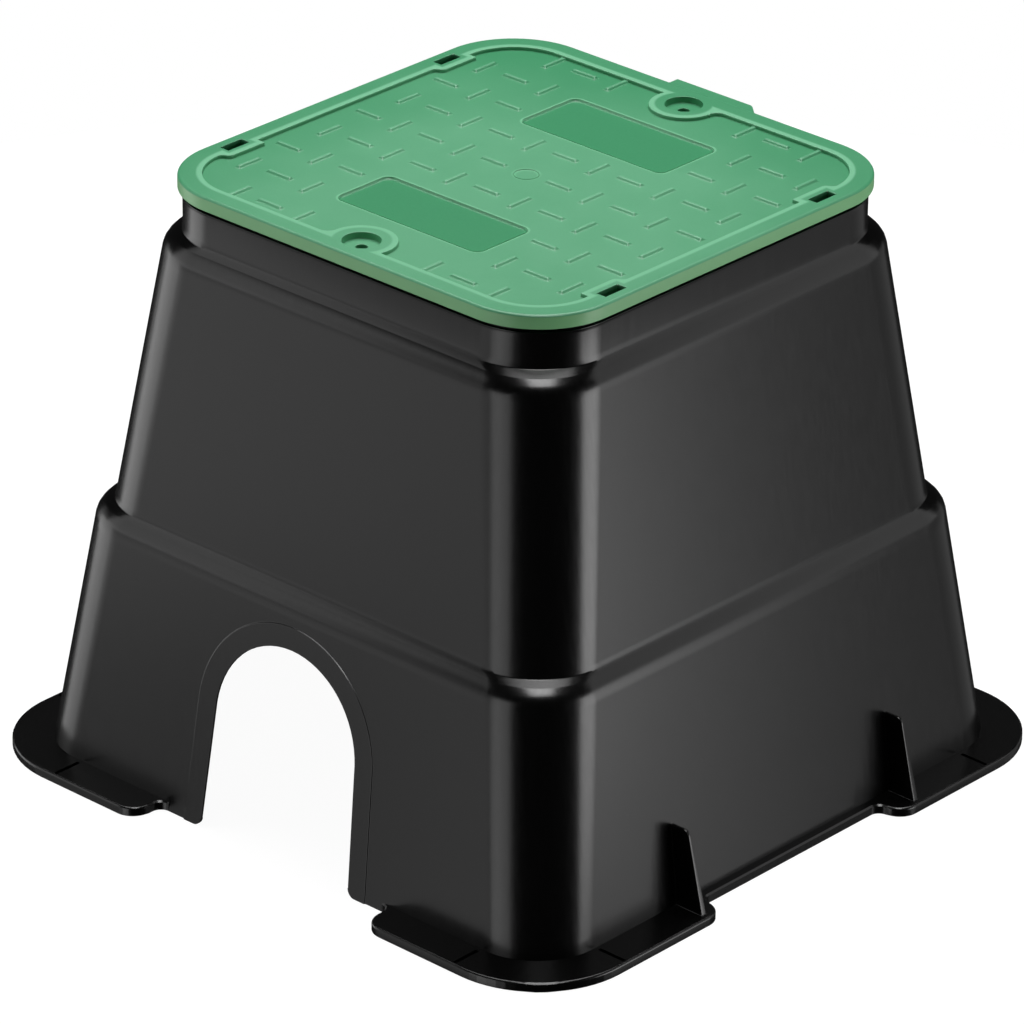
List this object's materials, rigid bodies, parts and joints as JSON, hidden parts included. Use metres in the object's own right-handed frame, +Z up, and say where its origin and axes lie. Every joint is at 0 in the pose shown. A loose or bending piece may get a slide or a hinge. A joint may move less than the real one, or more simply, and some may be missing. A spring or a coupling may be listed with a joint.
{
  "type": "irrigation valve box",
  "caption": "Square stepped valve box, open underneath, with a pipe arch in opposite walls, a ground flange with corner pads, and a flat lid with tread bars that lifts off.",
  "frame": {"origin": "middle of the footprint, on the ground", "axes": "+Z up; X through the walls with the gussets; Y through the walls with the pipe arches, with the lid's tab on the +Y side"},
  "size_m": [0.289, 0.289, 0.23],
  "materials": {
    "box": "satin",
    "lid": "satin"
  },
  "bodies": {
    "box": {"valve_box_body": "box"},
    "lid": {"valve_box_lid": "lid"}
  },
  "joints": [
    {"name": "lid_lift", "type": "slide", "parent": "box", "child": "lid", "axis": [0, 0, 1], "range_m": [0, 0.08]}
  ]
}
